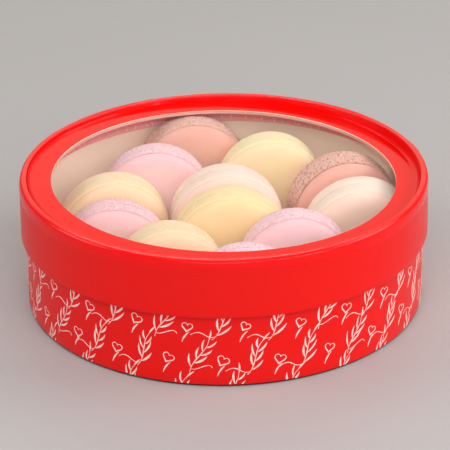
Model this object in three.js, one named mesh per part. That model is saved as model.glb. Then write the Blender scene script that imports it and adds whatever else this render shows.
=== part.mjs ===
// Round gift box for macarons: a card tube with a telescoping lid.
// The lid has a rolled lip, a recessed panel with a round window and a clear film,
// and twelve macarons stand on edge inside, one row behind the other.
// Millimetres, +Z up. The origin is the centre of the base, on the surface it rests on.
// The front of the box is towards -Y.
import * as THREE from 'three';

// Driving dimensions of the lid
const LIP_OUTER_RADIUS = 80;
const LIP_WIDTH = 3;
const LIP_CREST_Z = 52.4;
const LIP_ROUNDING = 1.4;
const LIP_COLLAR_DEPTH = 4.6; // how far the doubled wall of the lip reaches down from its crest
const SKIRT_OUTER_RADIUS = 79.8;
const SKIRT_WALL = 1.1;
const SKIRT_BOTTOM_Z = 29.2;

// Driving dimensions of the panel, its window and the film behind it
const WINDOW_RADIUS = 67.1;
const PANEL_TOP_Z = 49.5;
const PANEL_THICKNESS = 1.5;
const PANEL_TILT_BACK_DEG = 0.4; // the panel sits a little deeper at the back than at the front
const PANEL_TILT_RIGHT_DEG = 0.95; // and deeper at the right than at the left
const FILM_RADIUS = 73;
const FILM_THICKNESS = 0.2;
const FILM_GLUE = 0.1; // glue line between the panel and the film

// Driving dimensions of the body
const BODY_OUTER_RADIUS = 78.2;
const BODY_WALL = 1.4;
const BODY_RIM_Z = 43.2;
const BASE_THICKNESS = 1.2;
const TURN_IN_DEPTH = 3.4; // how far the printed wrap is turned in over the rim
const TURN_IN_PAPER = 0.35;

const GAP = 0.3; // clearance between neighbouring pieces
const TUBE_SIDES = 64;

// Driving dimensions of a macaron of nominal thickness
const MACARON_THICKNESS = 21;
const FILLING_HALF = 0.5;
const FILLING_INSET = 1.1;
const OUT_OF_ROUND = 0.22;
const MACARON_SIDES = 20;

// Half a macaron from the filling to the top of the dome: foot, crease and dome.
// inset is measured in from the largest radius, height from the middle of the macaron.
const SHELL_PROFILE = [
  { inset: 0.8, height: FILLING_HALF + GAP },
  { inset: 0, height: 2 },
  { inset: 0.2, height: 4.4 },
  { inset: 0.42, height: 5 },
  { inset: 0.52, height: 6.2 },
  { inset: 1.55, height: 7.95 },
  { inset: 3.7, height: 9.3 },
  { inset: 9.5, height: 10.15 },
];

const COLOURS = {
  redPaper: 0xd8201c,
  printedPaper: 0xcc1e20,
  card: 0xcdb4a0,
  film: 0xf2f4f4,
  rose: 0xdda394,
  pink: 0xf6b9c4,
  yellow: 0xf7dca0,
  white: 0xf8ead8,
  mauve: 0xd79a90,
  cream: 0xf0d9c2,
};

// The macarons in sight, from the back wall to the front, each standing on the base.
// x and y place its middle. lean tips its top back and turn faces it to the right, in degrees.
const MACARONS = [
  { colour: 'rose', x: -12.9, y: 62.2, lean: -1, turn: 7, radius: 22.85, thickness: 20.6 },
  { colour: 'pink', x: -27.9, y: 34.1, lean: 2, turn: 3, radius: 22.5, thickness: 20.5 },
  { colour: 'yellow', x: 19.2, y: 45.4, lean: 0.5, turn: 4, radius: 22.3, thickness: 20.7 },
  { colour: 'mauve', x: 48.1, y: 24.1, lean: -2, turn: 14, radius: 22.4, thickness: 21.2 },
  { colour: 'white', x: 53.5, y: 0.8, lean: -6.5, turn: 5, radius: 22.1, thickness: 21.3 },
  { colour: 'white', x: 0.8, y: 12.5, lean: -3.5, turn: 6, radius: 22.7, thickness: 20.5 },
  { colour: 'yellow', x: 2.5, y: -8.4, lean: -2.5, turn: 4, radius: 22.7, thickness: 20.2 },
  { colour: 'yellow', x: -43.9, y: 10.4, lean: -1.5, turn: 8, radius: 21.7, thickness: 20.9 },
  { colour: 'pink', x: -42.7, y: -15.9, lean: 1.5, turn: 3, radius: 21.8, thickness: 20.8 },
  { colour: 'yellow', x: -20.9, y: -34.6, lean: 1, turn: 11, radius: 21.5, thickness: 20.8 },
  { colour: 'pink', x: 27.2, y: -27.9, lean: 2.5, turn: 2, radius: 22.1, thickness: 20.7 },
  { colour: 'pink', x: 8.2, y: -56.1, lean: 1, turn: -4, radius: 22, thickness: 20.8 },
];

function surface(colour, roughness, opacity = 1) {
  return new THREE.MeshStandardMaterial({
    color: colour,
    roughness,
    metalness: 0,
    transparent: opacity < 1,
    opacity,
  });
}

const SURFACES = {
  redPaper: surface(COLOURS.redPaper, 0.35),
  printedPaper: surface(COLOURS.printedPaper, 0.4),
  card: surface(COLOURS.card, 0.85),
  film: surface(COLOURS.film, 0.08, 0.15),
};
const FILLING_SURFACE = surface(COLOURS.cream, 0.6);

function piece(name, geometry, material) {
  const mesh = new THREE.Mesh(geometry, material);
  mesh.name = name;
  return mesh;
}

// A solid turned about Z from [radius, z] corners, which go round counterclockwise.
// Corners that start and end on the axis make a disc, others a ring.
function turned(corners, sides) {
  const outline = corners.map(([radius, z]) => new THREE.Vector2(radius, z));
  if (corners[0][0] > 0) outline.push(outline[0].clone());
  const geometry = new THREE.LatheGeometry(outline, sides);
  geometry.rotateX(Math.PI / 2);
  return geometry;
}

// Corners of a plain ring between two radii and two heights
function ringCorners(innerRadius, outerRadius, bottomZ, topZ) {
  return [
    [outerRadius, bottomZ],
    [outerRadius, topZ],
    [innerRadius, topZ],
    [innerRadius, bottomZ],
  ];
}

function discCorners(radius, bottomZ, topZ) {
  return [
    [0, bottomZ],
    [radius, bottomZ],
    [radius, topZ],
    [0, topZ],
  ];
}

// A quarter of a rounded edge, as [radius, z] corners
function quarterRound(centreRadius, centreZ, rounding, fromDegrees) {
  const steps = 3;
  const corners = [];
  for (let step = 0; step <= steps; step += 1) {
    const angle = THREE.MathUtils.degToRad(fromDegrees + (90 * step) / steps);
    corners.push([
      centreRadius + rounding * Math.cos(angle),
      centreZ + rounding * Math.sin(angle),
    ]);
  }
  return corners;
}

function lidTube() {
  const lipInner = LIP_OUTER_RADIUS - LIP_WIDTH;
  const skirtInner = SKIRT_OUTER_RADIUS - SKIRT_WALL;
  const collarZ = LIP_CREST_Z - LIP_COLLAR_DEPTH;
  const roundZ = LIP_CREST_Z - LIP_ROUNDING;
  const corners = [
    [SKIRT_OUTER_RADIUS, SKIRT_BOTTOM_Z],
    [SKIRT_OUTER_RADIUS, collarZ],
    ...quarterRound(LIP_OUTER_RADIUS - LIP_ROUNDING, roundZ, LIP_ROUNDING, 0),
    ...quarterRound(lipInner + LIP_ROUNDING, roundZ, LIP_ROUNDING, 90),
    [lipInner, collarZ],
    [skirtInner, collarZ],
    [skirtInner, SKIRT_BOTTOM_Z],
  ];
  return piece('lid_tube', turned(corners, TUBE_SIDES), SURFACES.redPaper);
}

// The panel and the film lie together in the lid, at the panel's slight tilts.
function lidWindow() {
  const panelOuter = LIP_OUTER_RADIUS - LIP_WIDTH - GAP;
  const panel = turned(ringCorners(WINDOW_RADIUS, panelOuter, -PANEL_THICKNESS, 0), TUBE_SIDES);
  const filmTop = -PANEL_THICKNESS - FILM_GLUE;
  const film = turned(discCorners(FILM_RADIUS, filmTop - FILM_THICKNESS, filmTop), TUBE_SIDES);
  const group = new THREE.Group();
  group.position.z = PANEL_TOP_Z;
  group.rotation.x = -THREE.MathUtils.degToRad(PANEL_TILT_BACK_DEG);
  group.rotation.y = THREE.MathUtils.degToRad(PANEL_TILT_RIGHT_DEG);
  group.add(piece('lid_panel', panel, SURFACES.redPaper));
  group.add(piece('window_film', film, SURFACES.film));
  return group;
}

function body() {
  const bodyInner = BODY_OUTER_RADIUS - BODY_WALL;
  const turnInOuter = bodyInner - GAP;
  const turnInInner = turnInOuter - TURN_IN_PAPER;
  const foldBottom = BODY_RIM_Z + GAP;
  const foldTop = foldBottom + TURN_IN_PAPER;
  const tube = turned(ringCorners(bodyInner, BODY_OUTER_RADIUS, 0, BODY_RIM_Z), TUBE_SIDES);
  const base = turned(discCorners(bodyInner - GAP, 0, BASE_THICKNESS), TUBE_SIDES);
  const turnIn = turned(
    [
      [BODY_OUTER_RADIUS, foldBottom],
      [BODY_OUTER_RADIUS, foldTop],
      [turnInInner, foldTop],
      [turnInInner, foldTop - TURN_IN_DEPTH],
      [turnInOuter, foldTop - TURN_IN_DEPTH],
      [turnInOuter, foldBottom],
    ],
    TUBE_SIDES,
  );
  const group = new THREE.Group();
  group.add(piece('body_tube', tube, SURFACES.printedPaper));
  group.add(piece('body_turn_in', turnIn, SURFACES.printedPaper));
  group.add(piece('body_base', base, SURFACES.card));
  return group;
}

// Height above the base at which a leaning macaron's middle stands
function standingHeight({ lean, radius, thickness }) {
  const angle = THREE.MathUtils.degToRad(Math.abs(lean));
  const stretch = thickness / MACARON_THICKNESS;
  const reaches = SHELL_PROFILE.map(
    ({ inset, height }) => (radius - inset) * Math.cos(angle) + height * stretch * Math.sin(angle),
  );
  return BASE_THICKNESS + GAP + Math.max(...reaches);
}

// Baked shells aren't quite round: each vertex moves in or out along its radius.
function unevenOutline(geometry, radius, seed) {
  const position = geometry.attributes.position;
  for (let i = 0; i < position.count; i += 1) {
    const x = position.getX(i);
    const y = position.getY(i);
    const angle = Math.atan2(y, x);
    const wave = 0.6 * Math.sin(2 * angle + seed) + 0.4 * Math.sin(3 * angle + 2 * seed);
    const scale = 1 + (OUT_OF_ROUND * wave) / radius;
    position.setXY(i, x * scale, y * scale);
  }
  return geometry;
}

function shell(radius, thickness, seed) {
  const stretch = thickness / MACARON_THICKNESS;
  const corners = SHELL_PROFILE.map(({ inset, height }) => [radius - inset, height * stretch]);
  corners.unshift([0, corners[0][1]]);
  corners.push([0, thickness / 2]);
  return unevenOutline(turned(corners, MACARON_SIDES), radius, seed);
}

function macaron(spec, index) {
  const { colour, x, y, lean, turn, radius, thickness } = spec;
  const name = `macaron_${String(index + 1).padStart(2, '0')}`;
  const crust = surface(COLOURS[colour], 0.75);
  const stretch = thickness / MACARON_THICKNESS;
  const half = FILLING_HALF * stretch;
  const filling = turned(discCorners(radius - FILLING_INSET, -half, half), MACARON_SIDES);
  const back = shell(radius, thickness, index + 0.5);
  back.rotateX(Math.PI);

  const group = new THREE.Group();
  group.add(piece(`${name}_front_shell`, shell(radius, thickness, index), crust));
  group.add(piece(`${name}_filling`, filling, FILLING_SURFACE));
  group.add(piece(`${name}_back_shell`, back, crust));
  group.position.set(x, y, standingHeight(spec));
  group.rotation.set(
    THREE.MathUtils.degToRad(90 - lean),
    0,
    THREE.MathUtils.degToRad(turn),
    'ZXY',
  );
  return group;
}

const box = new THREE.Group();
box.add(body());
box.add(lidTube());
box.add(lidWindow());
MACARONS.forEach((spec, index) => box.add(macaron(spec, index)));

export default box;
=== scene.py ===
# A shut round gift box of card with a window lid, and twelve macarons that stand on edge inside it.
# The box is built in millimetres and put into the frame in metres: +Z is up, and the front faces -Y.
import math
import random

import bpy
import numpy as np
from mathutils import Matrix, Vector, noise


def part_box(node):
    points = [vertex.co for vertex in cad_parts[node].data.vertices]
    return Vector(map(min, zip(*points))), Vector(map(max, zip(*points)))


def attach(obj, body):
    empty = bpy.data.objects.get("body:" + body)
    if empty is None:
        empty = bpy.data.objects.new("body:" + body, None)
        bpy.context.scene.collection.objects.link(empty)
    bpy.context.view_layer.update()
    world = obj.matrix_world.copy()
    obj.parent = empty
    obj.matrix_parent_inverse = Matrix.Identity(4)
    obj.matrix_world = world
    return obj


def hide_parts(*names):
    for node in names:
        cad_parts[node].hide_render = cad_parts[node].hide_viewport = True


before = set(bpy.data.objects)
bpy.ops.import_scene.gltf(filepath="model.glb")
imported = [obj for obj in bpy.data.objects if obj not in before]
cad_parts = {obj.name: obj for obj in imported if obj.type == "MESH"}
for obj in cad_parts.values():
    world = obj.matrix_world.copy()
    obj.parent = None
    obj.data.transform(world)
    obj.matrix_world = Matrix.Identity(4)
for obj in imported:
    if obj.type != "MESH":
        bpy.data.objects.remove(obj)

TAU = 2 * math.pi
MM = 0.001
BODY = "root"
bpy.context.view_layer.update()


# Sizes, in millimetres


def outer_radius(node):
    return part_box(node)[1].x / MM


def top_of(node):
    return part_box(node)[1].z / MM


def bottom_of(node):
    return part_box(node)[0].z / MM


GAP = 0.3  # between neighbouring pieces

LIP_OUTER_RADIUS = outer_radius("lid_tube")
LIP_CREST_Z = top_of("lid_tube")
LIP_WIDTH = 3.6
LIP_INNER_RADIUS = LIP_OUTER_RADIUS - LIP_WIDTH
LIP_ROUNDING = 1.1  # of the crest's outer edge
LIP_FOLD = 0.5  # rounding of the crest's inner edge
LIP_LEAN = 0.7  # how far the crest's inner edge sinks at the back
LIP_LEAN_DEPTH = 1.2  # how far down from the crest the lean is felt
LIP_COLLAR_DEPTH = 4.6
COLLAR_UNDERSIDE_Z = LIP_CREST_Z - LIP_COLLAR_DEPTH
PLEAT_ROOM = 0.2  # kept free inside the widest radius for the pleats that stand out
SKIRT_OUTER_RADIUS = LIP_OUTER_RADIUS - PLEAT_ROOM
SKIRT_WALL = 1.1
SKIRT_WAIST = 0.25  # how far the skirt is drawn in just under the lip
WAIST_BELOW_COLLAR = 0.4
SWELL_START = (0.08, 0.8)  # where it swells again: out from the waist, and up from the collar's underside
SWELL_TOP = 2.2  # where the swell ends, up from the collar's underside
SKIRT_INNER_RADIUS = SKIRT_OUTER_RADIUS - SKIRT_WALL
SKIRT_BOTTOM_Z = bottom_of("lid_tube")

WINDOW_RADIUS = 67.1
PANEL_OUTER_RADIUS = outer_radius("lid_panel")
PANEL_TOP_Z = 49.5
PANEL_THICKNESS = 1.5
PANEL_FACING = 0.24  # the paper that faces the panel
PANEL_FILLET = 1.1  # how high it climbs where the panel meets the lip
PANEL_FILLET_WIDTH = 2.2
PANEL_FILLET_CURVE = 2.5  # how steeply it climbs
PANEL_FILLET_LEAST = 0.15  # share of its height that is left at the front and back
PANEL_HELD_WIDTH = 2.4  # the outer part of the panel, which is held flat
PANEL_TILT_BACK = math.radians(0.4)
PANEL_TILT_RIGHT = math.radians(0.95)
FILM_RADIUS = outer_radius("window_film")
FILM_TOP_BELOW_PANEL_TOP = 1.58
FILM_THICKNESS = 0.15
FILM_WAVE = 0.05
FILM_WAVE_SCALE = 0.03

BODY_OUTER_RADIUS = outer_radius("body_tube")
BODY_WALL = 1.4
BODY_INNER_RADIUS = BODY_OUTER_RADIUS - BODY_WALL
BODY_RIM_Z = top_of("body_tube")
BASE_THICKNESS = top_of("body_base")
TURN_IN_PAPER = 0.35
TURN_IN_OUTSIDE = BODY_INNER_RADIUS - GAP
TURN_IN_INSIDE = TURN_IN_OUTSIDE - TURN_IN_PAPER
TURN_IN_BOTTOM_Z = bottom_of("body_turn_in")
TURN_IN_TOP_Z = top_of("body_turn_in")
TURN_IN_ROUNDING = 0.4
PAPER_EDGE_ROUNDING = 0.3

MACARON_THICKNESS = 21.0  # of the macaron that the shell's profile is drawn for
FILLING_HALF = 0.76  # half of its height
FILLING_INSET = 0.08
FILLING_SIDES = 128
FILLING_BULGE = 0.08
FILLING_BULGE_SCALE = 4
OUT_OF_ROUND = 0.22
# Along the shell from its flat side to its crown: how far in from the widest radius, how far from the middle.
SHELL_PROFILE = [(0.05, 0.8), (0.02, 1.1), (0.0, 1.8), (0.0, 3.2), (0.08, 4.0), (0.26, 4.5), (0.90, 4.8),
                 (0.92, 5.05), (0.50, 5.5), (0.50, 6.3), (0.9, 7.3), (1.55, 8.1), (2.5, 8.75), (3.7, 9.3),
                 (5.0, 9.72), (6.6, 9.95), (9.5, 10.15), (14.0, 10.3)]
FOOT_TOP = 4.9
# Between which heights the profile's points belong to the crease, and how far in they lie without one.
CREASE_SPAN = (4.6, 5.3)
CREASE_REST = 0.3
# How far from the middle the porous texture reaches: on the front shells its foot, on the back ones its edge.
FRONT_PORES_END = 5.2
BACK_PORES_END = 8.4
# Each macaron: kind, place of its centre on the base, lean and turn in degrees, radius, thickness, own tone.
MACARONS = [
    ("rose", -12.9, 62.2, -1.0, 7, 22.85, 20.6, (1.0, 1.0, 1.0)),
    ("pink", -27.9, 34.1, 2.0, 3, 22.5, 20.5, (1.0, 0.96, 0.99)),
    ("yellow", 19.2, 45.4, 0.5, 4, 22.3, 20.7, (0.99, 1.04, 0.99)),
    ("mauve", 48.1, 24.1, -2.0, 14, 22.4, 21.2, (1.0, 1.0, 1.0)),
    ("white", 53.5, 0.8, -6.5, 5, 22.1, 21.3, (1.0, 0.97, 1.0)),
    ("white", 0.8, 12.5, -3.5, 6, 22.7, 20.5, (0.98, 0.91, 0.93)),
    ("yellow", 2.5, -8.4, -2.5, 4, 22.7, 20.2, (0.99, 0.98, 0.84)),
    ("yellow", -43.9, 10.4, -1.5, 8, 21.7, 20.9, (0.96, 0.94, 0.95)),
    ("pink", -42.7, -15.9, 1.5, 3, 21.8, 20.8, (0.97, 0.91, 0.92)),
    ("yellow", -20.9, -34.6, 1.0, 11, 21.5, 20.8, (0.93, 0.92, 0.93)),
    ("pink", 27.2, -27.9, 2.5, 2, 22.1, 20.7, (1.0, 0.99, 1.03)),
    ("pink", 8.2, -56.1, 1.0, -4, 22.0, 20.8, (1.0, 1.03, 1.08)),
]
# How each kind is baked: relief of its foot in millimetres, depth of its crease and share of pores; and how
# much painted shade its shoulder takes.
KINDS = {
    "rose": (0.44, 1.0, 0.8, 0.8),
    "pink": (0.22, 1.1, 0.8, 1.0),
    "yellow": (0.13, 0.5, 0.36, 0.5),
    "white": (0.12, 0.5, 0.22, 0.5),
    "mauve": (0.48, 1.25, 0.9, 0.8),
}
# The colours of each kind: light and deep tones of its skin, and the painted shade of its crease and of its
# pores.
SHELL_COLOURS = {
    "rose": ((0.82, 0.475, 0.39), (0.80, 0.445, 0.36), (0.62, 0.29, 0.24), (0.58, 0.26, 0.22)),
    "pink": ((0.94, 0.67, 0.68), (0.93, 0.64, 0.65), (0.82, 0.36, 0.41), (0.82, 0.42, 0.47)),
    "yellow": ((0.97, 0.74, 0.485), (0.96, 0.715, 0.455), (0.95, 0.66, 0.39), (0.93, 0.63, 0.38)),
    "white": ((0.96, 0.77, 0.64), (0.95, 0.75, 0.61), (0.93, 0.71, 0.57), (0.92, 0.68, 0.56)),
    "mauve": ((0.84, 0.48, 0.395), (0.82, 0.45, 0.365), (0.54, 0.24, 0.20), (0.50, 0.21, 0.19)),
}
# Painted light on the dome: a warmer crown, painted bounce light from the shells, and a darker shoulder,
# painted shade.
CROWN_PAINTED_BOUNCE = (1.0, 1.0, 0.95)
SHOULDER_PAINTED_SHADE = (0.95, 0.84, 0.84)


# Camera and stage


CAMERA_ELEVATION = 0.45139
CAMERA_ROLL = -0.01278
CAMERA_DISTANCE = 0.816
CAMERA_TARGET = Vector((0.00029, 0.0, 0.02807))
SENSOR_WIDTH = 36.0
LENS = 165.37


def build_camera():
    data = bpy.data.cameras.new("camera")
    data.sensor_width = SENSOR_WIDTH
    data.lens = LENS
    data.clip_start = 0.05
    data.clip_end = 20.0
    camera = bpy.data.objects.new("camera", data)
    towards = Vector((0.0, -math.cos(CAMERA_ELEVATION), math.sin(CAMERA_ELEVATION)))
    right = Vector((1.0, 0.0, 0.0))
    up = right.cross(-towards)
    rolled_right = right * math.cos(CAMERA_ROLL) + up * math.sin(CAMERA_ROLL)
    rolled_up = up * math.cos(CAMERA_ROLL) - right * math.sin(CAMERA_ROLL)
    axes = Matrix((rolled_right, rolled_up, towards)).transposed()
    place = CAMERA_TARGET + towards * CAMERA_DISTANCE
    camera.matrix_world = Matrix.Translation(place) @ axes.to_4x4()
    bpy.context.scene.collection.objects.link(camera)
    bpy.context.scene.camera = camera


def area_light(name, place, size, power, colour):
    data = bpy.data.lights.new(name, "AREA")
    data.shape = "RECTANGLE"
    data.size, data.size_y = size
    data.energy = power
    data.color = colour
    light = bpy.data.objects.new(name, data)
    light.location = place
    light.rotation_mode = "QUATERNION"
    light.rotation_quaternion = (Vector(LIGHTS_AIM) - Vector(place)).to_track_quat("-Z", "Y")
    light.visible_glossy = name != DIFFUSED
    light.visible_diffuse = name != CARD
    bpy.context.scene.collection.objects.link(light)


# The softboxes round the box: name, place, width and height, power, colour.
SOFTBOXES = [
    ("overhead_front", (0.0, -0.8, 1.1), (1.0, 0.8), 9.6, (1.0, 1.0, 1.0)),
    ("back_card", (0.0, 0.6, 1.2), (1.2, 0.8), 5.0, (1.0, 1.0, 1.0)),
    ("back_strip", (0.2, 1.1, 1.1), (1.3, 0.10), 2.2, (1.0, 1.0, 1.0)),
    ("low_front", (0.0, -1.6, 0.75), (1.2, 0.6), 5.5, (1.0, 1.0, 1.0)),
    ("low_back", (0.0, 1.58, 0.80), (1.6, 0.6), 2.6, (1.0, 0.94, 0.70)),
    ("right", (1.3, 0.0, 0.8), (0.8, 0.8), 9.3, (1.0, 1.0, 1.0)),
    ("left", (-1.3, 0.0, 0.8), (0.8, 0.8), 5.3, (1.0, 1.0, 1.0)),
    ("right_front", (1.1, -1.1, 0.7), (0.8, 0.8), 6.7, (1.0, 1.0, 1.0)),
]
# The softbox behind a large scrim, which leaves no highlight, and the card that is only seen in gloss.
DIFFUSED = "overhead_front"
CARD = "back_card"
LIGHTS_AIM = (0.0, 0.0, 0.03)
ROOM_LIGHT = 0.262
ROOM_COLOUR = (0.98, 0.985, 1.0, 1.0)


def build_lights():
    for name, place, size, power, colour in SOFTBOXES:
        area_light(name, place, size, power, colour)
    world = bpy.data.worlds.new("soft_room")
    world.use_nodes = True
    sky = world.node_tree.nodes["Background"]
    sky.inputs["Color"].default_value = ROOM_COLOUR
    sky.inputs["Strength"].default_value = ROOM_LIGHT
    bpy.context.scene.world = world


# Materials


class Nodes:
    """A material's node tree, written as short calls."""

    def __init__(self, name):
        self.material = bpy.data.materials.new(name)
        self.material.use_nodes = True
        self.tree = self.material.node_tree
        self.tree.nodes.clear()
        self.place = self.add("ShaderNodeTexCoord").outputs["Object"]

    def add(self, kind, settings=None, **inputs):
        node = self.tree.nodes.new(kind)
        for key, value in (settings or {}).items():
            setattr(node, key, value)
        for key, value in inputs.items():
            self.put(node.inputs[key.replace("_", " ")], value)
        return node

    def put(self, socket, value):
        if isinstance(value, bpy.types.NodeSocket):
            self.tree.links.new(value, socket)
        else:
            socket.default_value = value

    def noise(self, scale, detail=3.0, roughness=0.5, place=None):
        node = self.add("ShaderNodeTexNoise", Scale=scale, Detail=detail, Roughness=roughness)
        self.put(node.inputs["Vector"], place or self.place)
        return node.outputs["Fac"]

    def stretch(self, factors):
        return self.add("ShaderNodeMapping", Vector=self.place, Scale=factors).outputs["Vector"]

    def cells(self, scale, place=None):
        node = self.add("ShaderNodeTexVoronoi", Scale=scale, Randomness=1.0)
        self.put(node.inputs["Vector"], place or self.place)
        return node.outputs["Distance"]

    def attribute(self, name):
        return self.add("ShaderNodeAttribute", {"attribute_name": name}).outputs["Fac"]

    def span(self, value, low, high, to_low=0.0, to_high=1.0):
        node = self.add("ShaderNodeMapRange", {"interpolation_type": "SMOOTHSTEP"}, Value=value)
        for key, number in (("From Min", low), ("From Max", high), ("To Min", to_low), ("To Max", to_high)):
            node.inputs[key].default_value = number
        return node.outputs["Result"]

    def math(self, operation, first, second=0.0):
        node = self.add("ShaderNodeMath", {"operation": operation})
        self.put(node.inputs[0], first)
        self.put(node.inputs[1], second)
        return node.outputs[0]

    def mix(self, share, first, second):
        node = self.add("ShaderNodeMix", {"data_type": "RGBA"}, Factor=share)
        for key, colour in (("A", first), ("B", second)):
            self.put(node.inputs[key], colour if isinstance(colour, bpy.types.NodeSocket) else (*colour, 1.0))
        return node.outputs["Result"]

    def bump(self, height, strength, distance, under=None):
        node = self.add("ShaderNodeBump", Height=height, Strength=strength, Distance=distance)
        if under is not None:
            self.put(node.inputs["Normal"], under)
        return node.outputs["Normal"]

    def finish(self, colour, roughness, normal, **plain):
        shader = self.add("ShaderNodeBsdfPrincipled", **plain)
        for key, socket in (("Base Color", colour), ("Roughness", roughness), ("Normal", normal)):
            self.put(shader.inputs[key], socket)
        self.add("ShaderNodeOutputMaterial", Surface=shader.outputs[0])
        return self.material


def laminated_paper(name, colour, deep, roughness, gloss, wave):
    """Smooth wrapping paper with a satin film: faint clouds in its colour, faint waves from the glue."""
    n = Nodes(name)
    clouds = n.span(n.noise(22.0, 2.0), 0.2, 0.8)
    fibres = n.noise(2600.0, 2.0)
    shine = n.span(n.noise(60.0, 3.0), 0.3, 0.7, roughness - 0.03, roughness + 0.03)
    waves = n.bump(n.noise(30.0, 1.0), wave, 0.0007)
    grain = n.bump(fibres, 0.12, 0.00008, waves)
    return n.finish(n.mix(clouds, deep, colour), shine, grain, Specular_IOR_Level=gloss)


def raw_card(name, light, dark):
    """Uncoated board: long fibres along it, flecks and a matt face."""
    n = Nodes(name)
    fibres = n.noise(900.0, 4.0, 0.6, n.stretch((1.0, 1.0, 5.0)))
    clouds = n.noise(45.0, 3.0)
    flecks = n.span(n.cells(700.0), 0.10, 0.2, 0.75, 1.0)
    mottle = n.math("ADD", n.math("MULTIPLY", fibres, 0.5), n.math("MULTIPLY", clouds, 0.6))
    tone = n.span(n.math("MULTIPLY", mottle, flecks), 0.25, 0.75)
    dull = n.span(fibres, 0.2, 0.8, 0.78, 0.95)
    return n.finish(n.mix(tone, dark, light), dull, n.bump(fibres, 0.3, 0.0001))


def print_ink(name, colour, thin):
    """Pale printing ink, a little thinner in places so that the red shows through."""
    n = Nodes(name)
    worn = n.span(n.noise(420.0, 3.0, 0.7), 0.35, 0.6)
    return n.finish(n.mix(worn, thin, colour), n.span(worn, 0.0, 1.0, 0.52, 0.42), n.bump(worn, 0.1, 0.00002))


def clear_film(name):
    """Thin clear film: each face mirrors a little, more at a low angle, and lets the rest through."""
    n = Nodes(name)
    facing = n.add("ShaderNodeLayerWeight", Blend=0.5).outputs["Facing"]
    mirror = n.math("ADD", n.math("MULTIPLY", n.math("POWER", facing, 5.0), 0.3), 0.008)
    gloss = n.add("ShaderNodeBsdfGlossy", Color=(1.0, 1.0, 1.0, 1.0), Roughness=0.06)
    n.put(gloss.inputs["Normal"], n.bump(n.noise(30.0, 2.0), 0.25, 0.0006))
    clear = n.add("ShaderNodeBsdfTransparent", Color=(0.997, 0.996, 0.994, 1.0))
    both = n.add("ShaderNodeMixShader", Fac=mirror)
    n.put(both.inputs[1], clear.outputs[0])
    n.put(both.inputs[2], gloss.outputs[0])
    n.add("ShaderNodeOutputMaterial", Surface=both.outputs[0])
    return n.material


# How almond shells and their filling take in light and shine.
BAKED_SURFACE = {"Subsurface_Weight": 0.3, "Subsurface_Radius": (0.0040, 0.0018, 0.0010),
                 "Subsurface_Scale": 1.0, "Specular_IOR_Level": 0.3}


def toned(colour, tone):
    return tuple(c * t for c, t in zip(colour, tone))


def baked_shell(name, colours, tone, pores):
    """A baked almond shell: smooth, mottled skin, painted shade on its shoulder, crease and pores, painted
    bounce light on its crown, and a porous foot.
    """
    light, deep, crease, pore = (toned(c, tone) for c in colours)
    n = Nodes(name)
    foot, hollow, crown, shoulder = (n.attribute(mask) for mask in ("foot", "hollow", "crown", "shoulder"))
    mottle = n.span(n.noise(170.0, 5.0, 0.6), 0.3, 0.7)
    fine = n.noise(1500.0, 4.0, 0.7)
    colour = n.mix(mottle, deep, light)
    # Painted light on the dome: warm bounce light on the crown, shade on the shoulder.
    for where, baked in ((crown, CROWN_PAINTED_BOUNCE), (shoulder, SHOULDER_PAINTED_SHADE)):
        colour = n.mix(where, colour, n.mix(mottle, toned(deep, baked), toned(light, baked)))
    # Painted shade in the groove between the shells and in the dents of the relief.
    colour = n.mix(n.math("MULTIPLY", hollow, 0.9), colour, crease)
    along = n.stretch((1.0, 0.45, 1.0))
    bubbles = n.span(n.cells(820.0, along), 0.20, 0.44, 1.0, 0.0)
    patches = n.span(n.noise(240.0, 2.0), 0.26, 0.46)
    grain = n.span(n.noise(1100.0, 2.0, 0.7, along), 0.42, 0.58, 1.0, 0.0)
    # The foot's pits and speckles take the pore and crease colours: painted shade in its pores.
    holes = n.math("MULTIPLY", n.math("MULTIPLY", bubbles, patches), n.math("MULTIPLY", foot, pores))
    speckle = n.math("MULTIPLY", grain, n.math("MULTIPLY", foot, 0.4 * pores + 0.05))
    colour = n.mix(speckle, colour, crease)
    colour = n.mix(holes, colour, pore)
    crumb = n.math("MULTIPLY", fine, n.math("ADD", n.math("MULTIPLY", foot, 0.85), 0.15))
    pitted = n.math("SUBTRACT", crumb, n.math("MULTIPLY", holes, 1.2))
    normal = n.bump(pitted, 0.5, 0.0004)
    return n.finish(colour, n.span(fine, 0.2, 0.8, 0.62, 0.85), normal, **BAKED_SURFACE)


def filling(name, light, deep, pore, pores):
    """Soft cream between the shells, in their colour, with crumbs of them on it."""
    n = Nodes(name)
    lumps = n.noise(1500.0, 3.0, 0.7)
    crumbs = n.math("MULTIPLY", n.span(n.cells(1050.0), 0.20, 0.44, 1.0, 0.0), 0.8 * pores)
    colour = n.mix(crumbs, n.mix(n.span(lumps, 0.3, 0.7), deep, light), pore)
    normal = n.bump(lumps, 0.6, 0.0004)
    return n.finish(colour, n.span(lumps, 0.2, 0.8, 0.62, 0.85), normal, **BAKED_SURFACE)


def plain_floor(name):
    n = Nodes(name)
    clouds = n.span(n.noise(3.0, 2.0), 0.3, 0.7)
    colour = n.mix(clouds, (0.425, 0.402, 0.392), (0.435, 0.412, 0.402))
    return n.finish(colour, 0.62, n.bump(n.noise(900.0), 0.05, 0.0001))


# Meshes


RING_SEGMENTS = 720
# The materials of a ring of card: its paper, its bare board, and that of its lip, cut edge or foot; the
# foot's is painted shadow.
PAPER, BOARD, SPECIAL = range(3)


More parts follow.
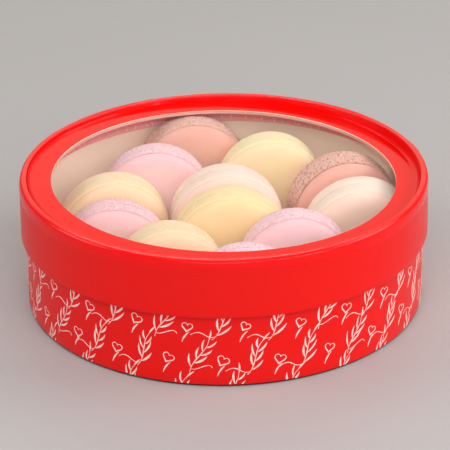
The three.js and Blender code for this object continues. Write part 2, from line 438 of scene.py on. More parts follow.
def link_mesh(name, points, faces, materials, parts=None, sharp=40.0):
    """A smooth-shaded mesh object from points in millimetres; parts gives each face's material."""
    mesh = bpy.data.meshes.new(name)
    mesh.from_pydata((np.asarray(points, float) * MM).tolist(), [], faces)
    for material in materials:
        mesh.materials.append(material)
    if parts is not None:
        mesh.polygons.foreach_set("material_index", np.asarray(parts, np.int32))
    mesh.shade_smooth()
    mesh.set_sharp_from_angle(angle=math.radians(sharp))
    mesh.update()
    piece = bpy.data.objects.new(name, mesh)
    bpy.context.scene.collection.objects.link(piece)
    return piece


def settle(piece, slot, *nodes):
    """The piece rides on the body and stands for the nodes, which are hidden; slot is not used."""
    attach(piece, BODY)
    if nodes:
        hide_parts(*nodes)
    return piece


def arc(centre, radius, start, end, steps):
    """Points of an arc in the (radius, height) plane; angles in degrees, 0 outwards and 90 up."""
    turns = np.radians(np.linspace(start, end, steps + 1))
    return [(centre[0] + radius * math.cos(t), centre[1] + radius * math.sin(t)) for t in turns]


def rise(start, end, steps):
    """Points along a straight stretch, without its first one."""
    start, end = np.array(start), np.array(end)
    return [tuple(start + (end - start) * k / steps) for k in range(1, steps + 1)]


def ring_quads(lower, upper, sides):
    """The faces between two rings of points, from the numbers of the rings' first points."""
    return [(lower + j, lower + (j + 1) % sides, upper + (j + 1) % sides, upper + j) for j in range(sides)]


def swept_ring(profile, warp):
    """Points and faces of a closed anticlockwise (radius, height) profile, swept round +Z and warped."""
    angles = np.arange(RING_SEGMENTS) * TAU / RING_SEGMENTS
    corners = np.array(profile, float)
    radii, heights = (np.repeat(corners[:, i:i + 1], RING_SEGMENTS, axis=1) for i in (0, 1))
    radii, heights = warp(radii, heights, angles)
    points = np.stack([radii * np.cos(angles), radii * np.sin(angles), heights], axis=2).reshape(-1, 3)
    faces = []
    for i in range(len(profile)):
        after = (i + 1) % len(profile)
        faces += ring_quads(i * RING_SEGMENTS, after * RING_SEGMENTS, RING_SEGMENTS)
    return points, faces


def ring_parts(profile, part_of):
    """The material of each face of swept_ring: part_of takes the middle of a profile edge."""
    middles = [(np.array(a) + np.array(b)) / 2 for a, b in zip(profile, profile[1:] + profile[:1])]
    return np.repeat([part_of(*m) for m in middles], RING_SEGMENTS)


def waves(angles, terms):
    """A sum of waves round the box, each given as its height, how many there are, and its phase."""
    return sum(height * np.sin(count * angles + phase) for height, count, phase in terms)


def from_front(angles):
    """Degrees round the box from its front, positive to the right, in -180 to 180."""
    return (np.degrees(angles) + 90 + 180) % 360 - 180


# Lid


# The slow waves of the lip, the skirt and the panel, as waves() takes them.
LIP_WAVES = [(0.05, 3, 0.7), (0.04, 7, 2.1), (0.03, 13, 4.0)]
SKIRT_WAVES = [(0.06, 2, 1.0), (0.05, 5, 0.3)]
PANEL_WAVES = [(0.05, 2, 0.5), (0.035, 5, 1.9)]
# Where the wrap of the lip is pleated: degrees from the front and how far its edge stands out in millimetres.
LIP_PLEATS = [(-158, 0.26), (-121, 0.18), (-86, 0.15), (-52, 0.14), (-24, 0.26), (10.5, 0.26), (17.7, 0.24),
              (26.4, 0.34), (61, 0.16), (102, 0.34), (133, 0.2), (166, 0.3)]
PLEAT_RUN = 9.0  # degrees in which a pleat fades out
PLEAT_EDGE = 0.7  # degrees in which it rises
PLEAT_REST = 0.3  # share of its height by which the whole lip is drawn in
PLEAT_DIP = 0.45  # share of its height by which the crest sinks
PLEAT_STILL = 0.35  # how far across the lip, from inside, a pleat moves nothing
LIP_DRAWN_IN = 0.1
LIP_FADE = 1.5  # how fast the lip's unevenness fades from the crest down to the collar's underside


def lip_unevenness(angles):
    """How far the lip's wrap stands out at each angle: slow waves and a saw tooth at each pleat."""
    degrees = from_front(angles)
    out = waves(angles, LIP_WAVES)
    for place, height in LIP_PLEATS:
        away = (degrees - place + 180) % 360 - 180
        behind = np.clip(1 - away / PLEAT_RUN, 0, 1)
        edge = np.clip(away / PLEAT_EDGE + 0.5, 0, 1)
        out += height * behind * edge * edge * (3 - 2 * edge) - height * PLEAT_REST
    return out


def lid_profile():
    lip_side_z = LIP_CREST_Z - LIP_ROUNDING
    waist = SKIRT_OUTER_RADIUS - SKIRT_WAIST
    outside = arc((SKIRT_OUTER_RADIUS - PAPER_EDGE_ROUNDING, SKIRT_BOTTOM_Z + PAPER_EDGE_ROUNDING),
                  PAPER_EDGE_ROUNDING, -90, 0, 4)
    skirt = rise(outside[-1], (waist, COLLAR_UNDERSIDE_Z - WAIST_BELOW_COLLAR), 10)
    swell = [(waist + SWELL_START[0], COLLAR_UNDERSIDE_Z + SWELL_START[1]),
             (SKIRT_OUTER_RADIUS, COLLAR_UNDERSIDE_Z + SWELL_TOP)]
    crest_out = arc((LIP_OUTER_RADIUS - LIP_ROUNDING - PLEAT_ROOM, lip_side_z), LIP_ROUNDING, 0, 90, 9)
    crest_in = arc((LIP_INNER_RADIUS + LIP_FOLD, LIP_CREST_Z - LIP_FOLD), LIP_FOLD, 90, 180, 7)
    inner_wall = rise(crest_in[-1], (LIP_INNER_RADIUS, COLLAR_UNDERSIDE_Z), 6)
    inside = [(SKIRT_INNER_RADIUS, COLLAR_UNDERSIDE_Z), (SKIRT_INNER_RADIUS, BODY_RIM_Z),
              (SKIRT_INNER_RADIUS, SKIRT_BOTTOM_Z + PAPER_EDGE_ROUNDING),
              (SKIRT_INNER_RADIUS + PAPER_EDGE_ROUNDING / 2, SKIRT_BOTTOM_Z)]
    return outside + skirt + swell + crest_out + crest_in + inner_wall + inside


def build_lid_tube(red, card, rolled):
    profile = lid_profile()

    def warp(radii, heights, angles):
        uneven = lip_unevenness(angles)
        up_lip = (heights - COLLAR_UNDERSIDE_Z) / (LIP_CREST_Z - COLLAR_UNDERSIDE_Z)
        on_lip = np.clip(up_lip, 0, 1) ** LIP_FADE
        outer = np.clip((radii - LIP_INNER_RADIUS) / LIP_WIDTH, 0, 1)
        on_outside = radii > SKIRT_INNER_RADIUS + 0.5
        wobble = waves(angles, SKIRT_WAVES) * (on_outside * (1 - on_lip))
        moved = radii + uneven * on_lip * (outer - PLEAT_STILL) + wobble - LIP_DRAWN_IN * on_lip
        at_back = np.clip(np.sin(angles), 0, 1)
        crest_edge = LIP_OUTER_RADIUS - LIP_ROUNDING
        inwards = np.clip((crest_edge - radii) / (crest_edge - LIP_INNER_RADIUS), 0, 1)
        lean = LIP_LEAN * at_back * inwards * (heights > LIP_CREST_Z - LIP_LEAN_DEPTH)
        return moved, heights - PLEAT_DIP * np.abs(uneven) * on_lip * outer - lean

    points, faces = swept_ring(profile, warp)

    def part_of(radius, height):
        if height > COLLAR_UNDERSIDE_Z + 0.1:
            return SPECIAL
        return BOARD if radius < SKIRT_INNER_RADIUS + 0.1 else PAPER

    parts = ring_parts(profile, part_of)
    piece = link_mesh("lid_wrapped_tube", points, faces, [red, card, rolled], parts, 50)
    return settle(piece, "red_wrap", "lid_tube")


def tilted(points, lift):
    """Points of the tilted panel and its film, from their own level to the frame."""
    turn = Matrix.Rotation(-PANEL_TILT_BACK, 3, "X") @ Matrix.Rotation(PANEL_TILT_RIGHT, 3, "Y")
    return np.asarray(points) @ np.array(turn).T + np.array([0.0, 0.0, lift])


# The cut edge at the window. The groove between facing and board: how far back, and how far below the facing.
PANEL_GROOVE = [(0.02, 0.0), (0.4, 0.04), (0.4, 0.2), (0.1, 0.24)]
BOARD_BACK = 0.12
# The facing from its flat top over its pressed edge: how far back, and how far down.
FACING_FLAT_BACK = 0.25
FACING_EDGE = [(0.09, 0.03), (0.0, 0.12), (0.0, 0.3)]


def build_lid_panel(red, card, edge):
    facing = -PANEL_FACING
    under = -PANEL_THICKNESS
    facing_edge = LIP_INNER_RADIUS - 0.01
    profile = [(WINDOW_RADIUS + back, facing - down) for back, down in PANEL_GROOVE]
    # Out of sight in the lip, the panel's outer edge steps in from the board to the facing.
    profile += [(WINDOW_RADIUS + BOARD_BACK, under), (PANEL_OUTER_RADIUS, under), (PANEL_OUTER_RADIUS, -0.5),
                (facing_edge, -0.3)]
    for share in np.linspace(0, 1, 12):
        climb = PANEL_FILLET * (1 - share) ** PANEL_FILLET_CURVE
        profile.append((facing_edge - PANEL_FILLET_WIDTH * share, climb))
    profile += rise(profile[-1], (WINDOW_RADIUS + FACING_FLAT_BACK, 0.0), 14)
    profile += [(WINDOW_RADIUS + back, -down) for back, down in FACING_EDGE]

    def warp(radii, heights, angles):
        free_width = PANEL_OUTER_RADIUS - PANEL_HELD_WIDTH - WINDOW_RADIUS
        share = np.clip((radii - WINDOW_RADIUS) / free_width, 0, 1)
        off_window = share > 0.002
        sag = waves(angles, PANEL_WAVES) * (1 - share) * off_window
        climb = PANEL_FILLET_LEAST + (1 - PANEL_FILLET_LEAST) * np.cos(angles) ** 2
        ragged = 0.035 * np.sin(23 * angles) * np.sin(7 * angles + 1.0) + 0.02 * np.sin(61 * angles + 2.0)
        near_window = radii < WINDOW_RADIUS + 0.5
        return radii + ragged * near_window, np.where(heights > 0, heights * climb, heights) + sag

    points, faces = swept_ring(profile, warp)

    def part_of(radius, height):
        if radius > PANEL_OUTER_RADIUS - 0.2:
            return PAPER
        # Below the facing, the cut edge and the underside take the pinker board, painted shade.
        if height < facing - 0.01:
            return BOARD
        return SPECIAL if height < -0.03 else PAPER

    parts = ring_parts(profile, part_of)
    piece = link_mesh("lid_window_panel", tilted(points, PANEL_TOP_Z), faces, [red, card, edge], parts, 50)
    return settle(piece, "red_wrap", "lid_panel")


def build_film(clear):
    """A round sheet of film, a little wavy where it isn't glued."""
    rings, spokes = 22, 120
    points = []
    for side in (0, 1):
        points.append((0.0, 0.0, -side * FILM_THICKNESS))
        for i in range(1, rings + 1):
            radius = FILM_RADIUS * i / rings
            free = max(0.0, 1 - (i / rings) ** 4)
            for j in range(spokes):
                x, y = radius * math.cos(TAU * j / spokes), radius * math.sin(TAU * j / spokes)
                wave = FILM_WAVE * free * noise.noise(Vector((x * FILM_WAVE_SCALE, y * FILM_WAVE_SCALE, 3.0)))
                points.append((x, y, wave - side * FILM_THICKNESS))
    faces = []
    layer = 1 + rings * spokes
    for side in (0, 1):
        base = side * layer
        for j in range(spokes):
            k = (j + 1) % spokes
            cap = (base, base + 1 + j, base + 1 + k)
            faces.append(cap if side == 0 else cap[::-1])
            for i in range(rings - 1):
                a, b = base + 1 + i * spokes, base + 1 + (i + 1) * spokes
                quad = (a + j, b + j, b + k, a + k)
                faces.append(quad if side == 0 else quad[::-1])
    rim = 1 + (rings - 1) * spokes
    for j in range(spokes):
        k = (j + 1) % spokes
        faces.append((rim + j, layer + rim + j, layer + rim + k, rim + k))
    lifted = tilted(points, PANEL_TOP_Z - FILM_TOP_BELOW_PANEL_TOP)
    piece = link_mesh("clear_window_film", lifted, faces, [clear])
    return settle(piece, "clear_film", "window_film")


# Body


# The waves of the wall and of the low edge of the fold, as waves() takes them.
WALL_WAVES = [(0.05, 3, 0.4), (0.03, 8, 2.0)]
WALL_DRAWN_IN = 0.06
FOLD_WAVES = [(0.10, 3, 1.0), (0.06, 11, 0.0), (0.03, 29, 2.0)]
FOLD_LIFT = 0.05  # how far up the low edge starts
FOLD_LOOSE = 0.05  # how far it stands off the wall


def wall_wobble(angles, heights):
    """How far the body's wall stands in or out of round, in millimetres."""
    share = np.sin(np.clip(heights / BODY_RIM_Z, 0, 1) * math.pi)
    return (waves(angles, WALL_WAVES) - WALL_DRAWN_IN) * share


# The rounded and slightly undercut foot of the tube: how far in from its wall, and the height.
TUBE_FOOT = [(0.9, 0.0), (0.75, 0.25), (0.4, 0.5), (0.12, 0.66), (0.0, 0.95)]


def build_body_tube(red, card, shaded):
    outside = [(BODY_OUTER_RADIUS - back, height) for back, height in TUBE_FOOT]
    profile = outside + rise(outside[-1], (BODY_OUTER_RADIUS, BODY_RIM_Z), 12)
    profile.append((BODY_INNER_RADIUS, BODY_RIM_Z))
    profile += rise(profile[-1], (BODY_INNER_RADIUS, 0.0), 6)

    def warp(radii, heights, angles):
        return radii + wall_wobble(angles, heights), heights

    points, faces = swept_ring(profile, warp)

    def part_of(radius, height):
        if radius < BODY_INNER_RADIUS + 0.2:
            return BOARD
        # The foot of the tube takes the painted shadow.
        return SPECIAL if height < TUBE_FOOT[-1][1] - 0.05 else PAPER

    parts = ring_parts(profile, part_of)
    piece = link_mesh("body_wrapped_tube", points, faces, [red, card, shaded], parts, 50)
    return settle(piece, "printed_wrap", "body_tube")


def build_turn_in(red):
    """The wrap folded over the rim and down the inside, with its cut edge a little uneven."""
    top = TURN_IN_TOP_Z
    under = top - TURN_IN_PAPER
    profile = [(TURN_IN_OUTSIDE, TURN_IN_BOTTOM_Z), (TURN_IN_OUTSIDE, under - 1.2), (TURN_IN_OUTSIDE, under),
               (BODY_OUTER_RADIUS, under), (BODY_OUTER_RADIUS, under + 0.1)]
    rounding, fold = PAPER_EDGE_ROUNDING, TURN_IN_ROUNDING
    profile += arc((BODY_OUTER_RADIUS - rounding, top - rounding), rounding, 10, 90, 3)
    profile += arc((TURN_IN_INSIDE + fold, top - fold), fold, 90, 180, 4)
    profile += rise((TURN_IN_INSIDE, top - fold), (TURN_IN_INSIDE, TURN_IN_BOTTOM_Z), 6)

    def warp(radii, heights, angles):
        low = np.clip((under - heights) / (under - TURN_IN_BOTTOM_Z), 0, 1)
        ragged = waves(angles, FOLD_WAVES)
        return radii - FOLD_LOOSE * low * (1 + np.sin(9 * angles)), heights + (ragged + FOLD_LIFT) * low ** 2

    points, faces = swept_ring(profile, warp)
    # Its paper is painted pale pink: painted reflection of the film and painted light.
    piece = link_mesh("body_folded_edge", points, faces, [red], None, 50)
    return settle(piece, "printed_wrap", "body_turn_in")


# Print: sprigs, single leaves and hearts in fine pale lines, with the wrap's u along the wall and v up it


PRINT_COLUMNS = 24
PRINT_ROW = 13.5
PRINT_ROWS = 5
PRINT_LOWEST_ROW = -8.0
PRINT_SHIFT = 0.37  # of each row along the one below it, in columns
SPRIG_LENGTH = 14.5
SPRIG_LEAVES = 6
HEART_PLACE = (0.60, 5.4)  # from the sprig's foot: columns along, millimetres up
LEAF_PLACE = (0.50, -1.0)
LEAF_LENGTH = 5.2
FOLD_STROKES = 112
SLANT = math.radians(66)
HAIR = 0.33
BRUSH = 0.78
THINNEST = 0.6 * HAIR
LINE_STEP = 0.35
INK_HEIGHT = 0.05
INK_EMBED = 0.04
PRINT_BOTTOM = 1.0
PRINT_TOP = BODY_RIM_Z - 0.4
# Where the unrolled wrap has passed over the rim, and where the print on the folded edge starts and ends.
FOLD_LINE = TURN_IN_TOP_Z + (BODY_OUTER_RADIUS - TURN_IN_INSIDE)
FOLD_PRINT_START = FOLD_LINE + 0.5
FOLD_PRINT_END = FOLD_LINE + TURN_IN_TOP_Z - TURN_IN_BOTTOM_Z - 0.35


def bezier(a, b, c, d, steps=24):
    t = np.linspace(0, 1, steps + 1)[:, None]
    a, b, c, d = (np.array(p, float) for p in (a, b, c, d))
    return a * (1 - t) ** 3 + 3 * b * t * (1 - t) ** 2 + 3 * c * t ** 2 * (1 - t) + d * t ** 3


def blade(foot, direction, length, bend):
    """A slender leaf as one brush stroke from its foot to its tip, bent to one side."""
    along = np.array([math.cos(direction), math.sin(direction)])
    across = np.array([-along[1], along[0]]) * bend
    third, two_thirds = foot + along * length * 0.3 + across, foot + along * length * 0.7 + across
    return bezier(foot, third, two_thirds, foot + along * length, 14)


def heart(centre, size, tilt):
    """The outline of a heart as one stroke."""
    t = np.linspace(0, TAU, 49)
    x = 16 * np.sin(t) ** 3
    y = 13 * np.cos(t) - 5 * np.cos(2 * t) - 2 * np.cos(3 * t) - np.cos(4 * t)
    shape = np.stack([x, y], axis=1) * size / 32
    turn = np.array([[math.cos(tilt), -math.sin(tilt)], [math.sin(tilt), math.cos(tilt)]])
    return np.array(centre) + shape @ turn.T


def sprig(foot, slant, length, side, draw):
    """A slanting stem with leaves to both sides and a tendril near its foot: (stroke, width) pairs."""
    foot = np.array(foot)
    along = np.array([math.cos(slant), math.sin(slant)])
    across = np.array([-along[1], along[0]]) * side
    third, two_thirds = foot + along * length * 0.3 - across * 2.2, foot + along * length * 0.7 + across * 1.6
    stem = bezier(foot, third, two_thirds, foot + along * length)
    strokes = [(stem, HAIR * 1.2)]
    for k in range(SPRIG_LEAVES):
        at = 4 + 3 * k
        heading = math.atan2(*(stem[at + 1] - stem[at])[::-1])
        way = (1 if k % 2 else -1) * side
        swing = math.radians(draw.uniform(20, 30)) * way
        long = (6.6 - 0.4 * k) * draw.uniform(0.85, 1.1)
        strokes.append((blade(stem[at], heading + swing, long, 0.7 * way), BRUSH * draw.uniform(0.8, 1.1)))
    heading = math.atan2(*(stem[-1] - stem[-2])[::-1])
    strokes.append((blade(stem[-1], heading, 4.4, 0.3 * side), BRUSH * 0.8))
    away = np.array([-side * 1.0, 0.18])
    start = stem[3]
    strokes.append((bezier(start, start + away * 3 - along * 2.4, start + away * 5.6 + along * 3.2,
                           start + away * 8.6 - along * 1.2), HAIR))
    return strokes


def print_strokes():
    """The strokes on the outside of the wall, on the unrolled wrap, with their widths."""
    draw = random.Random(11)
    pitch = TAU * BODY_OUTER_RADIUS / PRINT_COLUMNS
    strokes = []
    for row in range(PRINT_ROWS):
        for column in range(PRINT_COLUMNS):
            u = (column + PRINT_SHIFT * row + draw.uniform(-0.05, 0.05)) * pitch
            v = PRINT_LOWEST_ROW + row * PRINT_ROW + draw.uniform(-0.8, 0.8)
            side = 1 if (row + column) % 3 else -1
            slant = SLANT + draw.uniform(-0.10, 0.10)
            strokes += sprig((u, v), slant, SPRIG_LENGTH * draw.uniform(0.92, 1.08), side, draw)
            at_heart = (u + HEART_PLACE[0] * pitch, v + HEART_PLACE[1])
            strokes.append((heart(at_heart, draw.uniform(3.6, 4.6), draw.uniform(-0.6, -0.1)), HAIR * 1.5))
            at_leaf = np.array((u + LEAF_PLACE[0] * pitch, v + LEAF_PLACE[1]))
            strokes.append((blade(at_leaf, SLANT - 0.15, LEAF_LENGTH, 0.6), BRUSH * 0.8))
    return strokes


def fold_strokes():
    """The ends of strokes that show on the edge folded inwards."""
    draw = random.Random(5)
    strokes = []
    for step in range(FOLD_STROKES):
        u = (step + draw.uniform(-0.3, 0.3)) * TAU * BODY_OUTER_RADIUS / FOLD_STROKES
        v = FOLD_LINE + draw.uniform(0.2, 1.2)
        lean = draw.uniform(-1.4, 0.6)
        end = (u + lean, v + draw.uniform(1.6, 3.6))
        stroke = bezier((u, v), (u + 0.1, v + 0.8), (u + lean - 0.1, v + 1.6), end)
        strokes.append((stroke, HAIR * draw.uniform(1.3, 1.9)))
    return strokes


def resampled(stroke):
    """The stroke with even steps, and its share of the way at each point."""
    lengths = np.r_[0, np.cumsum(np.linalg.norm(np.diff(stroke, axis=0), axis=1))]
    count = max(3, int(lengths[-1] / LINE_STEP) + 1)
    at = np.linspace(0, lengths[-1], count)
    return np.stack([np.interp(at, lengths, stroke[:, i]) for i in (0, 1)], axis=1), at / lengths[-1]


def on_wrap(points, face):
    """Whether each (u, v) is on that face of the wrap: 1 outside the wall, -1 on the turned-in edge."""
    low, high = (PRINT_BOTTOM, PRINT_TOP) if face > 0 else (FOLD_PRINT_START, FOLD_PRINT_END)
    return (points[:, 1] > low) & (points[:, 1] < high)


def wrapped(u, v, face, lift):
    """A point of the wrap in the frame, lifted off its face."""
    angle = u / BODY_OUTER_RADIUS - TAU / 4
    if face > 0:
        radius, height = BODY_OUTER_RADIUS + wall_wobble(angle, v) + lift, v
    else:
        radius, height = TURN_IN_INSIDE - lift, TURN_IN_TOP_Z - (v - FOLD_LINE)
    return (radius * math.cos(angle), radius * math.sin(angle), height)


def ink_ribbon(line, widths, face, points, faces):
    """A closed flat ribbon of ink along the line, added to points and faces."""
    steps = np.gradient(line, axis=0)
    steps /= np.maximum(np.linalg.norm(steps, axis=1), 1e-9)[:, None]
    normals = np.stack([-steps[:, 1], steps[:, 0]], axis=1)
    first = len(points)
    for point, normal, width in zip(line, normals, widths):
        left, right = point + normal * width / 2, point - normal * width / 2
        points.append(wrapped(*left, face, -INK_EMBED))
        points.append(wrapped(*left, face, INK_HEIGHT))
        points.append(wrapped(*right, face, INK_HEIGHT))
        points.append(wrapped(*right, face, -INK_EMBED))
    for i in range(len(line) - 1):
        a, b = first + 4 * i, first + 4 * i + 4
        for k in range(4):
            m = (k + 1) % 4
            quad = (a + k, a + m, b + m, b + k)
            faces.append(quad if face > 0 else quad[::-1])
    last = first + 4 * (len(line) - 1)
    caps = ((first + 3, first + 2, first + 1, first), (last, last + 1, last + 2, last + 3))
    faces.extend(cap if face > 0 else cap[::-1] for cap in caps)


def build_print(ink):
    points, faces = [], []
    strokes = [(1, *stroke) for stroke in print_strokes()] + [(-1, *stroke) for stroke in fold_strokes()]
    for face, stroke, width in strokes:
        line, share = resampled(stroke)
        widths = np.maximum(THINNEST, width * np.sin(np.clip(share, 0.02, 0.98) * math.pi) ** 0.8)
        shown = on_wrap(line, face)
        start = 0
        for i in range(1, len(line) + 1):
            if i == len(line) or shown[i] != shown[start]:
                if shown[start] and i - start >= 3:
                    ink_ribbon(line[start:i], widths[start:i], face, points, faces)
                start = i
    piece = link_mesh("printed_sprigs", points, faces, [ink], None, 30)
    return settle(piece, "printed_wrap")


# Macarons


SHELL_SIDES = 256
SHELL_RINGS = 44
# How closely the rings stand at the crease, on the rest of the edge and on the crown.
RING_WEIGHTS = (2.4, 0.9, 0.4)
NEAR_CREASE = 0.9
EDGE_END = 8.2
CROWN_START = 8.5

# The relief of a shell: how fine each noise is in x, y and z, and how much of it there is.
LUMP_SCALE, LUMP_SHARE = 0.30, 0.4
FRILL_SCALE, FRILL_SHARE = (0.7, 0.7, 0.25), 0.25
GRIT_SCALE, GRIT_SHARE = (1.1, 1.1, 0.5), 0.45
PORE_SCALE, PORE_SHARE, PORE_SIZE = (0.8, 0.8, 0.4), 0.45, 0.40
OPEN_PORES_FROM = 0.4  # kinds with a larger share of pores have open ones
FOOT_DRAWN_IN = 0.1
SKIN_SWELL_SCALE, SKIN_SWELL, SKIN_LUMPS = 0.11, 0.12, 0.04


def scaled(point, factors):
    return Vector((point.x * factors[0], point.y * factors[1], point.z * factors[2]))


def smooth_profile(crease):
    """The shell's profile as a smooth curve with finer steps at the crease, as deep as crease says."""
    control = []
    for inset, height in SHELL_PROFILE:
        if CREASE_SPAN[0] < height < CREASE_SPAN[1]:
            inset = CREASE_REST + (inset - CREASE_REST) * crease
        control.append((inset, height))
    control = np.array(control)
    padded = np.vstack([2 * control[0] - control[1], control, 2 * control[-1] - control[-2]])
    dense = []
    for i in range(1, len(padded) - 2):
        a, b, c, d = padded[i - 1:i + 3]
        for t in np.linspace(0, 1, 16, endpoint=False):
            dense.append(0.5 * (2 * b + (c - a) * t + (2 * a - 5 * b + 4 * c - d) * t ** 2
                                + (3 * b - a - 3 * c + d) * t ** 3))
    dense = np.array(dense + [control[-1]])
    at_crease, on_edge, on_crown = RING_WEIGHTS
    near_crease = np.abs(dense[:-1, 1] - FOOT_TOP) < NEAR_CREASE
    weight = np.where(near_crease, at_crease, np.where(dense[:-1, 1] < EDGE_END, on_edge, on_crown))
    lengths = np.r_[0, np.cumsum(np.linalg.norm(np.diff(dense, axis=0), axis=1) * weight)]
    at = np.linspace(0, lengths[-1], SHELL_RINGS)
    return np.stack([np.interp(at, lengths, dense[:, i]) for i in (0, 1)], axis=1)


def out_of_round(angle, seed):
    return OUT_OF_ROUND * (0.6 * math.sin(2 * angle + seed) + 0.4 * math.sin(3 * angle + 2 * seed))


def eased(value, low, high):
    """0 below low, 1 above high, smooth between them."""
    share = min(1.0, max(0.0, (value - low) / (high - low)))
    return share * share * (3 - 2 * share)


def shell_mesh(radius, thickness, seed, kind, pores_end, crease_share):
    """Points, faces and masks of one shell, its flat side down, in its own place."""
    relief, crease, pores, baked = KINDS[kind]
    crease *= crease_share
    profile = smooth_profile(crease)
    stretch = thickness / MACARON_THICKNESS
    points, foot, hollow, crown, shoulder = [], [], [], [], []
    for inset, height in profile:
        in_foot = 1 - eased(height, FOOT_TOP - 0.1, FOOT_TOP + 0.4)
        porous = 1 - eased(height, pores_end - 0.5, pores_end + 0.7)
        at_groove = max(0.0, 1 - abs(height - FOOT_TOP) / 0.7)
        on_crown = eased(inset, 3.0, 6.4)
        on_shoulder = eased(height, FOOT_TOP, FOOT_TOP + 1.5) * (1 - eased(inset, 3.0, 8.0))
        for j in range(SHELL_SIDES):
            angle = TAU * j / SHELL_SIDES
            reach = (radius - inset) * (1 + out_of_round(angle, seed) / radius)
            x, y, z = reach * math.cos(angle), reach * math.sin(angle), height * stretch
            here = Vector((x, y, z + seed * 31.0))
            lumps = noise.noise(here * LUMP_SCALE)
            frill = noise.noise(scaled(here, FRILL_SCALE))
            grit = noise.noise(scaled(here, GRIT_SCALE))
            rough = relief * (LUMP_SHARE * lumps + FRILL_SHARE * frill - FOOT_DRAWN_IN) * in_foot
            rough += relief * GRIT_SHARE * grit * porous
            if pores > OPEN_PORES_FROM:
                gap = noise.voronoi(scaled(here, PORE_SCALE))[0][0]
                rough -= PORE_SHARE * relief * max(0.0, PORE_SIZE - gap) / PORE_SIZE * porous
            swell = noise.noise(here * SKIN_SWELL_SCALE)
            rough += (SKIN_SWELL * swell + SKIN_LUMPS * lumps) * (1 - in_foot)
            lift = 0.5 * rough if height > CROWN_START else 0.0
            # Towards the axis the push outwards fades.
            push = 1 + rough / max(reach, 4.0) * min(1.0, reach / 12.0)
            points.append((x * push, y * push, z + lift))
            foot.append(porous)
            # Painted shade: the groove between the shells and the dents of the relief take the crease colour.
            dents = max(0.0, -rough / relief - 0.3) * porous
            hollow.append(min(1.0, min(1.0, 1.3 * crease) * at_groove + 0.2 * dents))
            # Masks of painted light: shade on the shoulder, as much as the kind's last column says, and
            # bounce light on the crown.
            shoulder.append(baked * on_shoulder)
            crown.append(on_crown)
    points += [(0.0, 0.0, profile[0][1] * stretch), (0.0, 0.0, profile[-1][1] * stretch)]
    foot += [1.0, 0.0]
    hollow += [1.0, 0.0]
    crown += [0.0, 1.0]
    shoulder += [0.0, 0.0]
    faces = []
    for i in range(SHELL_RINGS - 1):
        faces += ring_quads(i * SHELL_SIDES, (i + 1) * SHELL_SIDES, SHELL_SIDES)
    bottom, top = SHELL_RINGS * SHELL_SIDES, SHELL_RINGS * SHELL_SIDES + 1
    last_ring = (SHELL_RINGS - 1) * SHELL_SIDES
    for j in range(SHELL_SIDES):
        k = (j + 1) % SHELL_SIDES
        faces.append((bottom, k, j))
        faces.append((top, last_ring + j, last_ring + k))
    return np.array(points), faces, {"foot": foot, "hollow": hollow, "crown": crown, "shoulder": shoulder}


def standing_place(x, y, lean, radius, thickness):
    """The centre of a macaron that stands on its edge on the base."""
    stretch = thickness / MACARON_THICKNESS
    slope = math.radians(abs(lean))
    lowest = max((radius - inset) * math.cos(slope) + height * stretch * math.sin(slope)
                 for inset, height in SHELL_PROFILE)
    return np.array([x, y, BASE_THICKNESS + GAP + lowest])


# The bulging edge of the filling: how far in from its widest radius, and how far up in half heights.
FILLING_EDGE = [(0.15, -1.0), (0.03, -0.7), (0.0, 0.0), (0.03, 0.7), (0.15, 1.0)]


def build_filling(name, radius, seed, turn, place, material):
    """A low round of cream whose edge bulges between the shells."""
    sides = FILLING_SIDES
    edge = [(FILLING_INSET + back, FILLING_HALF * share) for back, share in FILLING_EDGE]
    points = []
    for step_in, height in edge:
        for j in range(sides):
            angle = TAU * j / sides
            around = Vector((math.cos(angle), math.sin(angle), 0.0)) * FILLING_BULGE_SCALE
            bulge = FILLING_BULGE * noise.noise(around + Vector((0.0, 0.0, seed * 7.0)))
            reach = radius - step_in + out_of_round(angle, seed) + bulge
            points.append((reach * math.cos(angle), reach * math.sin(angle), height))
    faces = [tuple(reversed(range(sides))), tuple(range(4 * sides, 5 * sides))]
    for i in range(len(edge) - 1):
        faces += ring_quads(i * sides, (i + 1) * sides, sides)
    world = np.array(points) @ np.array(turn).T + place
    piece = link_mesh(f"{name}_cream", world, faces, [material])
    return settle(piece, "filling_cream", f"{name}_filling")


# The two shells: their addition to the seed, how far their pores reach, and their share of the crease.
SHELL_HALVES = [("front", 0, FRONT_PORES_END, 1.0), ("back", 0.5, BACK_PORES_END, 0.2)]


def build_macaron(number, spec):
    kind, x, y, lean, turned, radius, thickness, tone = spec
    name = f"macaron_{number:02d}"
    pores = KINDS[kind][2]
    material = baked_shell(f"{name}_{kind}", SHELL_COLOURS[kind], tone, pores)
    turn = Matrix.Rotation(math.radians(turned), 3, "Z") @ Matrix.Rotation(math.radians(90 - lean), 3, "X")
    place = standing_place(x, y, lean, radius, thickness)
    for half, seed, pores_end, share in SHELL_HALVES:
        points, faces, masks = shell_mesh(radius, thickness, number + seed, kind, pores_end, share)
        if half == "back":
            points = points * np.array([1.0, -1.0, -1.0])
        world = points @ np.array(turn).T + place
        piece = link_mesh(f"{name}_{half}_baked", world, faces, [material], None, 70)
        for mask, values in masks.items():
            layer = piece.data.attributes.new(mask, "FLOAT", "POINT")
            layer.data.foreach_set("value", np.asarray(values, np.float32))
        settle(piece, f"shell_{kind}", f"{name}_{half}_shell")
    colours = [toned(c, tone) for c in SHELL_COLOURS[kind]]
    cream = filling(f"{name}_filling_cream", colours[0], colours[1], colours[3], pores)
    build_filling(name, radius, number, turn, place, cream)


# The whole scene


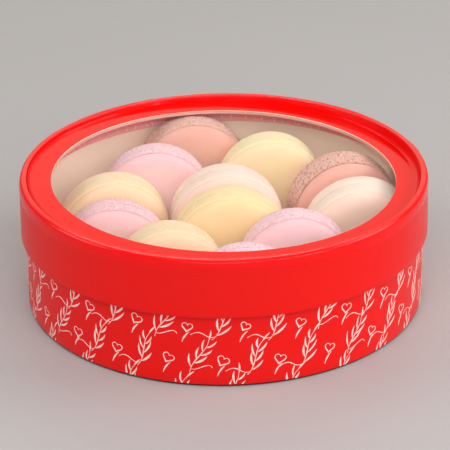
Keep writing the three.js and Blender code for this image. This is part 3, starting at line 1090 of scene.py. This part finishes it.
# Each paper of the box: its light and deep tones, roughness, gloss, and how wavy it lies.
PAPERS = {
    # The walls' red is a little darker than the lip's and the panel's: painted shade against the light from
    # the front.
    "red_laminate_painted_shade": ((0.82, 0.0065, 0.005), (0.80, 0.006, 0.0045), 0.32, 0.21, 0.12),
    "rolled_lip_laminate": ((0.86, 0.003, 0.003), (0.84, 0.003, 0.003), 0.17, 0.27, 0.3),
    "panel_laminate": ((0.86, 0.003, 0.002), (0.84, 0.003, 0.002), 0.13, 0.11, 0.05),
    # The edge folded inside the rim is the same red wrap, painted pale pink: painted reflection of the film
    # over it and painted light in the panel's shade.
    "folded_wrap_painted_light": ((0.98, 0.36, 0.36), (0.94, 0.31, 0.32), 0.45, 0.2, 0.12),
    # The foot of the body tube is near black: painted shadow where it meets the floor.
    "foot_painted_shadow": ((0.10, 0.006, 0.006), (0.07, 0.004, 0.004), 0.6, 0.2, 0.12),
}
# Each board of the box: its light and dark fibres.
BOARDS = {
    "raw_board": ((0.99, 0.80, 0.64), (0.97, 0.73, 0.57)),
    "cut_board_edge": ((0.98, 0.74, 0.56), (0.94, 0.62, 0.44)),
    # The panel's board is a darker, pinker copy of the raw board: painted shade on its cut edge at the
    # window.
    "pink_board_painted_shade": ((0.78, 0.42, 0.36), (0.64, 0.33, 0.28)),
}
INK_COLOUR = (0.96, 0.74, 0.68)
THIN_INK_COLOUR = (0.94, 0.52, 0.47)
FLOOR_HALF = 3.0
FLOOR_DROP = 0.0001  # the floor lies this far under the base, so that the two faces don't mix


def build_stage():
    half = FLOOR_HALF
    mesh = bpy.data.meshes.new("floor")
    corners = [(-half, -half, 0), (half, -half, 0), (half, half, 0), (-half, half, 0)]
    mesh.from_pydata(corners, [], [(0, 1, 2, 3)])
    mesh.materials.append(plain_floor("studio_floor"))
    floor = bpy.data.objects.new("floor", mesh)
    floor.location.z = -FLOOR_DROP
    bpy.context.scene.collection.objects.link(floor)


def build_box():
    red, rolled, flat, folded, shaded = (laminated_paper(name, *looks) for name, looks in PAPERS.items())
    card, edge, board = (raw_card(name, *tones) for name, tones in BOARDS.items())
    ink = print_ink("pale_ink", INK_COLOUR, THIN_INK_COLOUR)
    build_lid_tube(red, card, rolled)
    build_lid_panel(flat, board, edge)
    build_film(clear_film("clear_window"))
    build_body_tube(red, card, shaded)
    build_turn_in(folded)
    build_print(ink)
    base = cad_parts["body_base"]
    base.data.materials.clear()
    base.data.materials.append(card)


def build_food():
    for number, spec in enumerate(MACARONS, start=1):
        build_macaron(number, spec)


build_camera()
bpy.context.scene.view_settings.view_transform = "Standard"
build_lights()
build_stage()
build_box()
build_food()
